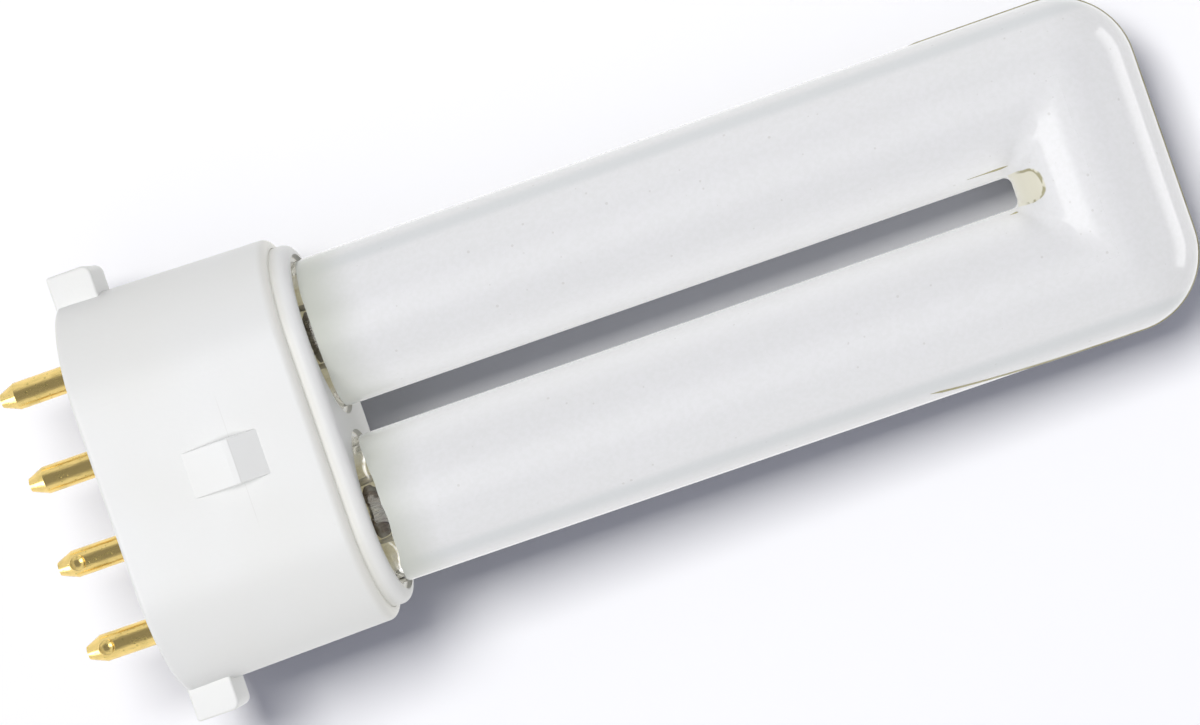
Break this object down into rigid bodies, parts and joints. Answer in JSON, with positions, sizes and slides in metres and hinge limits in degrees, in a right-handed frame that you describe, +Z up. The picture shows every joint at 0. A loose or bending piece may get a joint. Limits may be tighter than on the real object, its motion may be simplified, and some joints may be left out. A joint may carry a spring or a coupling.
{
  "type": "compact fluorescent bulb",
  "caption": "Compact fluorescent bulb: a white glass U-tube cemented by its legs into a moulded plastic base with a row of brass pins, side lugs and snap catches.",
  "frame": {"origin": "middle of the seating face, where the pins leave the base", "axes": "+X along the lamp from the pins to the tip of the tube, +Y across the two legs, +Z up from the wide side that the lamp lies on"},
  "size_m": [0.0927, 0.0368, 0.0194],
  "materials": {
    "clear_glass": "clear gloss",
    "white_coating": "fine matt powder",
    "base_plastic": "satin moulded",
    "cement": "dull, set paste",
    "pin_brass": "polished",
    "lead_metal": "drawn wire",
    "coil_wire": "dark wound wire",
    "bead_glass": "fused gloss"
  },
  "bodies": {
    "root": {"discharge_tube": "clear_glass", "phosphor_coating": "white_coating", "base_housing": "base_plastic", "tube_collar": "base_plastic", "cement_ring_left": "cement", "cement_ring_right": "cement", "electrode_coil_left": "coil_wire", "electrode_coil_right": "coil_wire", "mount_bead_left": "bead_glass", "mount_bead_right": "bead_glass", "contact_pin_1": "pin_brass", "lead_wire_1": "lead_metal", "contact_pin_2": "pin_brass", "lead_wire_2": "lead_metal", "contact_pin_3": "pin_brass", "lead_wire_3": "lead_metal", "contact_pin_4": "pin_brass", "lead_wire_4": "lead_metal"}
  },
  "joints": []
}
